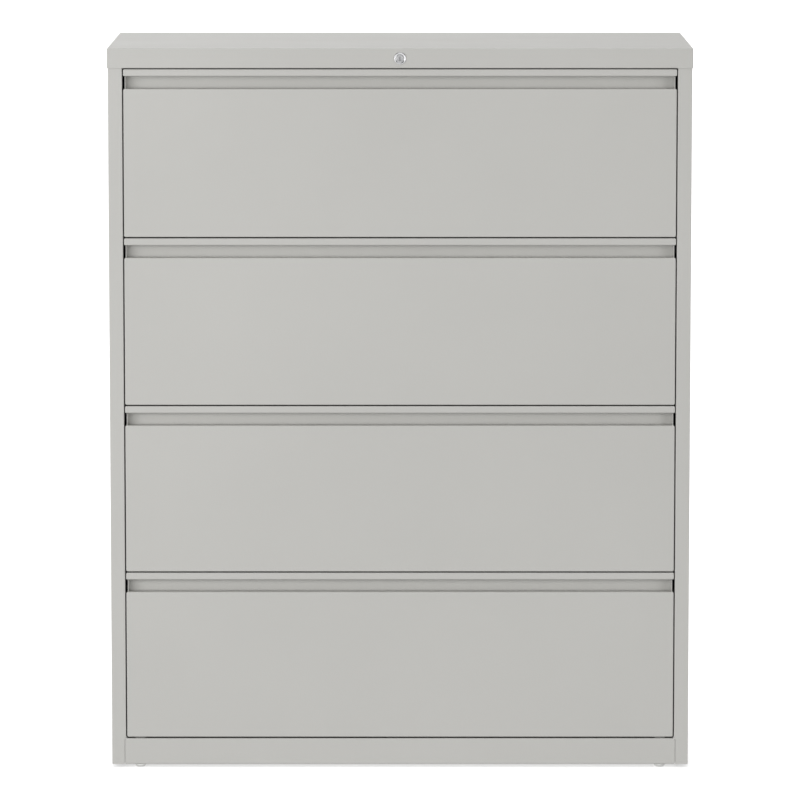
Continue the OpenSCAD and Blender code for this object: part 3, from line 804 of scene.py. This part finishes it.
def drawer_front(k):
    """The face, a shallow pan; and over it one sheet: the pull's back and ceiling, and the lip."""
    edge, corner, lip_corner = 1.7, 3.0, 2.4
    pan_gap, hem_depth, hem_height, channel_inset, end_wall_gap = 1.3, 7, 6, 2.9, 0.6
    low, high = box_mm(f"drawer_{k}_front")
    t = DRAWER_T
    face_top = high.z - LIP_H - PULL_H
    front, back = low.y, low.y + FACE_T - pan_gap
    rings = []

    def ring(inset, y):
        loop = rounded_loop(
            low.x + inset, high.x - inset, low.z + inset, face_top - inset,
            max(corner - inset, 0.4), 8,
        )
        rings.append([(u, y, v) for u, v in loop])

    for inset, depth in round_edge(edge, 7):
        ring(inset, front + depth)
    ring(0, back - 0.2)
    ring(0.2, back)
    ring(t, back)
    for inset, depth in reversed(round_edge(edge - t)):
        ring(t + inset, front + t + depth)
    shape = loft(rings)

    channel_x = high.x - channel_inset
    wall_y, hem_y = low.y + FACE_T, front + hem_depth
    lip_low = high.z - LIP_H

    def half(p):
        if p.x > hem_y - 3:
            return (-channel_x, channel_x)
        near = min(high.z - p.y, p.y - lip_low)
        rise = max(0, lip_corner - near)
        x = high.x - lip_corner + math.sqrt(max(0, lip_corner**2 - rise**2))
        return (-x, x)

    start_z = face_top - 2 * t - 0.1
    path = [(front + 9, start_z), (wall_y, start_z), (wall_y, high.z), (front, high.z)]
    path += [(front, high.z - d) for d in (2.0, 2.4)] + [(front, lip_low + d) for d in (2.4, 2.0)]
    path += [(front, lip_low), (hem_y, lip_low), (hem_y, lip_low + hem_height)]
    shape.add(sheet(path, t, 0.7, across, [-high.x, high.x], ends=half))
    end_wall = prism(
        rounded_loop(
            front + t, wall_y - t / 2, face_top - t / 2, lip_low - end_wall_gap, 0.3, 3
        ),
        across, channel_x - t, channel_x - 0.03,
    )
    shape.add(end_wall, end_wall.mirrored())
    piece(f"drawer_{k}_front_sheets", shape, f"drawer_{k}_front")


def drawer_liner(k):
    """The sheet behind the face, stiffened by two pressed beads."""
    half_width, slope, depth, bead_x, bead_inset = 14, 8, 3, 420, 75
    step = 3.2
    low, high = box_mm(f"drawer_{k}_liner")
    reach = half_width + slope
    heights = (low.z + bead_inset, high.z - bead_inset)
    presses = [
        stadium_press((-bead_x, z), (bead_x, z), half_width, slope, depth) for z in heights
    ]
    path = [low.z]
    for z in heights:
        path += spaced(z - reach, z + reach, step)
    path.append(high.z)
    stations = [low.x] + spaced(-bead_x - reach, -bead_x, step)
    stations += spaced(bead_x, bead_x + reach, step) + [high.x]
    shape = sheet(
        [(high.y, z) for z in path], DRAWER_T, 0.5, across, stations,
        press=lambda p, s: max(f(Vector((s, p.y))) for f in presses),
    )
    piece(f"drawer_{k}_liner_sheet", shape, f"drawer_{k}_liner")


def drawer_floor(low, high, inner_x, floor_z):
    """The drawer's floor, with four pressed ribs from front to back."""
    half_width, slope, depth, inset = 9, 7, 2, 60
    step, reach = 3.4, half_width + slope
    ribs = (-330, -110, 110, 330)
    y0, y1 = low.y + inset, high.y - inset
    presses = [stadium_press((x, y0), (x, y1), half_width, slope, depth) for x in ribs]
    path = [-inner_x]
    for x in ribs:
        path += spaced(x - reach, x + reach, step)
    path.append(inner_x)
    stations = [low.y] + spaced(y0 - reach, y0, step)
    stations += spaced(y1, y1 + reach, step) + [high.y - DRAWER_T - 1]
    return sheet(
        [(x, floor_z) for x in path], DRAWER_T, 0.5, inward, stations,
        press=lambda p, s: max(f(Vector((p.x, s))) for f in presses),
    )


def drawer_box(k):
    """Floor with pressed ribs, side walls with beads and slotted flanges, and a back wall."""
    seam = 0.1
    half_width, slope, depth, step = 5, 5, 2.2, 2.5
    bead_heights, side_inset, back_bead_x = (95, 200), 45, 420
    slot_pitch, slot_x0, slot_x1, slot_half = 12.7, 7.5, 4, 2
    low, high = box_mm(f"drawer_{k}_box")
    t, reach = DRAWER_T, half_width + slope
    floor_z = low.z + t + seam
    inner_x = high.x - t - 1
    front, back = low.y, high.y
    beads = [low.z + height for height in bead_heights]
    shape = drawer_floor(low, high, inner_x, floor_z)

    y0, y1 = front + side_inset, back - side_inset
    side_presses = [stadium_press((z, y0), (z, y1), half_width, slope, depth) for z in beads]
    path = [(high.x - SIDE_FLANGE, low.z), (high.x, low.z)]
    for z in beads:
        path += [(high.x, v) for v in spaced(z - reach, z + reach, step)]
    path += [(high.x, high.z), (high.x - SIDE_FLANGE, high.z)]
    stations = [front] + spaced(y0 - reach, y0, step)
    stations += spaced(y1, y1 + reach, step) + [back - t - seam]
    wall = sheet(
        path, t, 0.8, inward, stations,
        press=lambda p, s: max(f(Vector((p.y, s))) for f in side_presses),
    )
    shape.add(wall, wall.mirrored())

    back_presses = [
        stadium_press((-back_bead_x, z), (back_bead_x, z), half_width, slope, depth)
        for z in beads
    ]
    path = [(back, floor_z)]
    for z in beads:
        path += [(back, v) for v in spaced(z - reach, z + reach, step)]
    path += [(back, high.z), (back - SIDE_FLANGE, high.z)]
    stations = [-inner_x] + spaced(-back_bead_x - reach, -back_bead_x, step)
    stations += spaced(back_bead_x, back_bead_x + reach, step) + [inner_x]
    top_x = high.x - SIDE_FLANGE - seam

    def half(p):
        x = top_x if p.y > high.z - 3 else inner_x
        return (-x, x)

    shape.add(sheet(
        path, t, 0.8, across, stations, ends=half,
        press=lambda p, s: max(f(Vector((s, p.y))) for f in back_presses),
    ))

    row = Shape()
    for y in spaced(front + 20, back - 25, slot_pitch):
        loop = rounded_loop(
            high.x - slot_x0, high.x - slot_x1, y - slot_half, y + slot_half, 1.4, 3
        )
        row.add(prism(loop, upright, high.z - 3, high.z + 3))
    slots = Shape()
    slots.add(row, row.mirrored())
    piece(f"drawer_{k}_box_sheets", shape, f"drawer_{k}_box", holes=slots)


def hang_rails(k):
    """Rolled bars across the drawer, each with a foot screwed to the side walls' flanges."""
    bar_half, foot_half, foot_t, screw_y = 1.25, 9, 1.5, 5.4
    low, high = box_mm(f"drawer_{k}_hang_rails")
    foot_top = low.z + foot_t
    screw_profile = [
        (0, low.z + 2.6), (1.6, low.z + 2.4), (2.4, low.z + 1.9), (2.5, low.z + 1.4),
        (0, low.z + 1.4),
    ]
    shape = Shape()
    for y in (low.y + foot_half, high.y - foot_half):
        section = rounded_loop(y - bar_half, y + bar_half, foot_top, high.z, 1.15, 5)
        shape.add(prism(section, across, low.x, high.x))
        outline = rounded_loop(
            high.x - SIDE_FLANGE, high.x, y - foot_half, y + foot_half, 2.5, 5
        )
        foot = prism(outline, upright, low.z, foot_top)
        for side in (-1, 1):
            axis = round_z(high.x - SIDE_FLANGE / 2, y + side * screw_y)
            foot.add(turned(screw_profile, axis, 24))
        shape.add(foot, foot.mirrored())
    piece(f"drawer_{k}_hang_rails_rolled", shape, f"drawer_{k}_hang_rails")


# ---------- slides ----------

SLIDE_T = 1.2
OPENING_X = 506


def slide_member(web_u, tip_u, half_height, lip, z, low_y, high_y):
    """One roll-formed member of the right-hand slide, from its web to the lips at its tips."""

    def place(u, v, s):
        return (OPENING_X - u, s, z + v)

    path = [
        (tip_u, half_height - lip), (tip_u, half_height), (web_u, half_height),
        (web_u, -half_height), (tip_u, -half_height), (tip_u, lip - half_height),
    ]
    if tip_u < web_u:
        path.reverse()
    return sheet(path, SLIDE_T, 0.9, place, [low_y, high_y])


def round_x(y, z):
    """Place function for what turns about a line along X, with heights from the opening's side."""
    return lambda u, v, s: (OPENING_X - s, y + u, z + v)


def slides():
    """Fixed, middle and drawer members, roll-formed with rounded bends."""
    fixed_half, rivets, openings, opening_r = 200, (-160, 170), (-80, -20, 40, 100), 4
    rivet_profile = [(0, 2.0), (1.8, 1.95), (3.2, 1.6), (4, 1.15), (0, 1.15)]
    fixed, holes = Shape(), Shape()
    for k in DRAWERS:
        low, high = box_mm(f"drawer_{k}_slide_mid")
        z = (low.z + high.z) / 2
        fixed.add(slide_member(0, 9.2, 22.5, 3.6, z, -fixed_half, fixed_half))
        for y in rivets:
            fixed.add(turned(rivet_profile, round_x(y, z), 24))
        for y in openings:
            holes.add(drill(opening_r, -2, 3, round_x(y, z), 32))
        for name, web, tip, half_height, lip, y0, y1 in (
            ("slide_mid", 2.2, 10.4, 16.3, 3.2, low.y, high.y),
            ("slide_inner", 12.7, 5.4, 10.7, 2.4, low.y - 5, high.y - 5),
        ):
            member = slide_member(web, tip, half_height, lip, z, y0, y1)
            pair = Shape()
            pair.add(member, member.mirrored())
            piece(f"drawer_{k}_{name}_rolled", pair, f"drawer_{k}_{name}")
    piece("slide_outer_right_rolled", fixed, "slide_outer_right", holes=holes)
    piece(
        "slide_outer_left_rolled", fixed.mirrored(), "slide_outer_left", holes=holes.mirrored()
    )


top_cap()
side_panels()
back_panel()
base_rails()
back_screws()
lock_front()
glides()
slides()
for k in DRAWERS:
    drawer_front(k)
    drawer_liner(k)
    drawer_box(k)
    hang_rails(k)


# ---------- stage ----------

FLOOR_SIDE = 600
FLOOR_GLOW = 0.5
# painted shade: a dark rectangle of floor beneath the cabinet, where its glow is left out
FLOOR_DARK_X, FLOOR_DARK_Y = 0.52, 0.19  # the floor doesn't glow beneath the cabinet
WORLD_LIGHT = 0.33
SUNS = (  # name, azimuth from the front, elevation and width in degrees, brightness on white
    ("front_left", -44, 7, 30, 0.245),
    ("front_right", 44, 7, 30, 0.22),
    ("top", 20, 75, 60, 0.20),
    ("left", -115, 25, 60, 0.18),
    ("right", 115, 25, 60, 0.15),
    ("rear", 205, 32, 60, 0.27),
)


def make_floor():
    """Wide pale floor that gives no bounce light, so that the object's light is the lamps'. It
    glows evenly, but not beneath the cabinet, where it is left dark as painted shade.
    """
    n = Nodes("floor")
    wash = n.spread(n.noise(0.8, detail=3), 0, 1)
    n.shader.inputs["Emission Color"].default_value = (1, 1, 1, 1)
    split = n.add("ShaderNodeSeparateXYZ")
    n.link(n.place, split.inputs["Vector"])
    # painted shade: the glow is switched off beneath the cabinet, so the floor there stays dark
    under = n.math(
        "MULTIPLY",
        n.between(split.outputs["X"], FLOOR_DARK_X),
        n.between(split.outputs["Y"], FLOOR_DARK_Y),
    )
    n.link(n.spread(under, FLOOR_GLOW, 0, 0, 1), n.shader.inputs["Emission Strength"])
    bpy.ops.mesh.primitive_plane_add(size=FLOOR_SIDE, location=(0, 0, 0))
    floor = bpy.context.object
    floor.name = "floor"
    floor.data.materials.append(
        n.finish(
            colour=n.mixed(wash, (0.88, 0.88, 0.88), (0.90, 0.90, 0.90)),
            Roughness=0.9,
            Specular_IOR_Level=0.1,
        )
    )
    floor.visible_diffuse = False
    floor.visible_shadow = False


def make_sun(name, azimuth, elevation, width, share):
    """Soft distant lamp. share is how bright it makes a white surface that faces it."""
    data = bpy.data.lights.new(name, "SUN")
    data.energy = math.pi * share
    data.angle = math.radians(width)
    lamp = bpy.data.objects.new(name, data)
    a, e = math.radians(azimuth), math.radians(elevation)
    towards = Vector((math.sin(a) * math.cos(e), -math.cos(a) * math.cos(e), math.sin(e)))
    lamp.rotation_euler = (-towards).to_track_quat("-Z", "Y").to_euler()
    lamp.location = towards * 5
    bpy.context.scene.collection.objects.link(lamp)


def make_softbox():
    """Large soft lamp in front and to the left; its light falls off slowly across the front."""
    aim = Vector((0, 0, 0.75))
    data = bpy.data.lights.new("softbox", "AREA")
    data.shape = "DISK"
    data.size = 1.6
    data.energy = 30
    lamp = bpy.data.objects.new("softbox", data)
    lamp.location = (-1.7, -3.6, 1.25)
    lamp.rotation_euler = (aim - lamp.location).to_track_quat("-Z", "Y").to_euler()
    bpy.context.scene.collection.objects.link(lamp)


def make_world():
    """White surroundings, dimmer as light than they look."""
    world = bpy.data.worlds.new("studio")
    world.use_nodes = True
    tree = world.node_tree
    background = tree.nodes["Background"]
    background.inputs["Color"].default_value = (1, 1, 1, 1)
    path = tree.nodes.new("ShaderNodeLightPath")
    level = tree.nodes.new("ShaderNodeMapRange")
    level.inputs["To Min"].default_value = WORLD_LIGHT
    level.inputs["To Max"].default_value = 1.0
    tree.links.new(path.outputs["Is Camera Ray"], level.inputs["Value"])
    tree.links.new(level.outputs["Result"], background.inputs["Strength"])
    bpy.context.scene.world = world


def make_camera():
    """Long lens, above the cabinet and tilted down to its middle."""
    distance = 10.0
    height = 1.9614
    aim_height = 0.6848
    lens = 247.48
    data = bpy.data.cameras.new("camera")
    data.lens = lens
    data.sensor_width = 36
    data.clip_end = 1000
    camera = bpy.data.objects.new("camera", data)
    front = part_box("top_cap")[0].y
    camera.location = (0, front - distance, height)
    aim = Vector((0, front, aim_height)) - camera.location
    camera.rotation_euler = aim.to_track_quat("-Z", "Y").to_euler()
    bpy.context.scene.collection.objects.link(camera)
    bpy.context.scene.camera = camera


make_floor()
make_world()
make_softbox()
for sun in SUNS:
    make_sun(*sun)
make_camera()
bpy.context.scene.view_settings.view_transform = "Standard"
